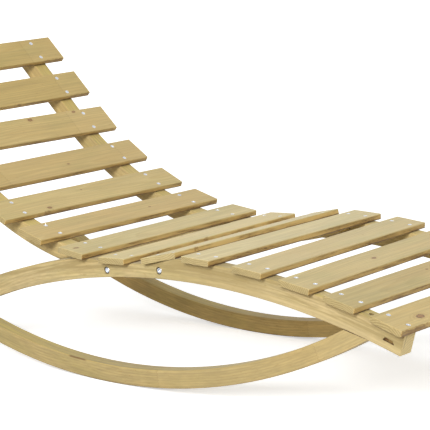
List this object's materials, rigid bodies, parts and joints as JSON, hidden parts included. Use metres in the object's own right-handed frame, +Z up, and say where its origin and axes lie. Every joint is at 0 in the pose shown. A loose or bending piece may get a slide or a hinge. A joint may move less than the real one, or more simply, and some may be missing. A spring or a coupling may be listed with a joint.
{
  "type": "rocking chaise lounge",
  "caption": "Slatted softwood rocking lounger with a hollowed seat, a leg rest and two bent rails forming a lens at each side.",
  "frame": {"origin": "middle of the bounding box's base, on the floor; the rockers touch the floor 36 mm headward of it", "axes": "+X from the head end to the foot end, +Y to the sitter's left, +Z up"},
  "size_m": [1.6388, 0.602, 0.7102],
  "materials": {
    "rail_pine": "satin",
    "slat_pine": "satin",
    "zinc_steel": "satin"
  },
  "bodies": {
    "root": {"right_leg_rail": "rail_pine", "right_rocker": "rail_pine", "right_back_rail": "rail_pine", "left_leg_rail": "rail_pine", "left_rocker": "rail_pine", "left_back_rail": "rail_pine", "back_slat_1": "slat_pine", "back_slat_2": "slat_pine", "back_slat_3": "slat_pine", "back_slat_4": "slat_pine", "back_slat_5": "slat_pine", "back_slat_6": "slat_pine", "back_slat_7": "slat_pine", "seat_slat_1": "slat_pine", "seat_slat_2": "slat_pine", "leg_slat_1": "slat_pine", "leg_slat_2": "slat_pine", "leg_slat_3": "slat_pine", "leg_slat_4": "slat_pine", "leg_slat_5": "slat_pine", "back_slat_screws": "zinc_steel", "seat_slat_screws": "zinc_steel", "rocker_joint_screws": "zinc_steel", "rail_bolts": "zinc_steel", "rail_bolt_washers": "zinc_steel", "rail_bolt_nuts": "zinc_steel"}
  },
  "joints": []
}
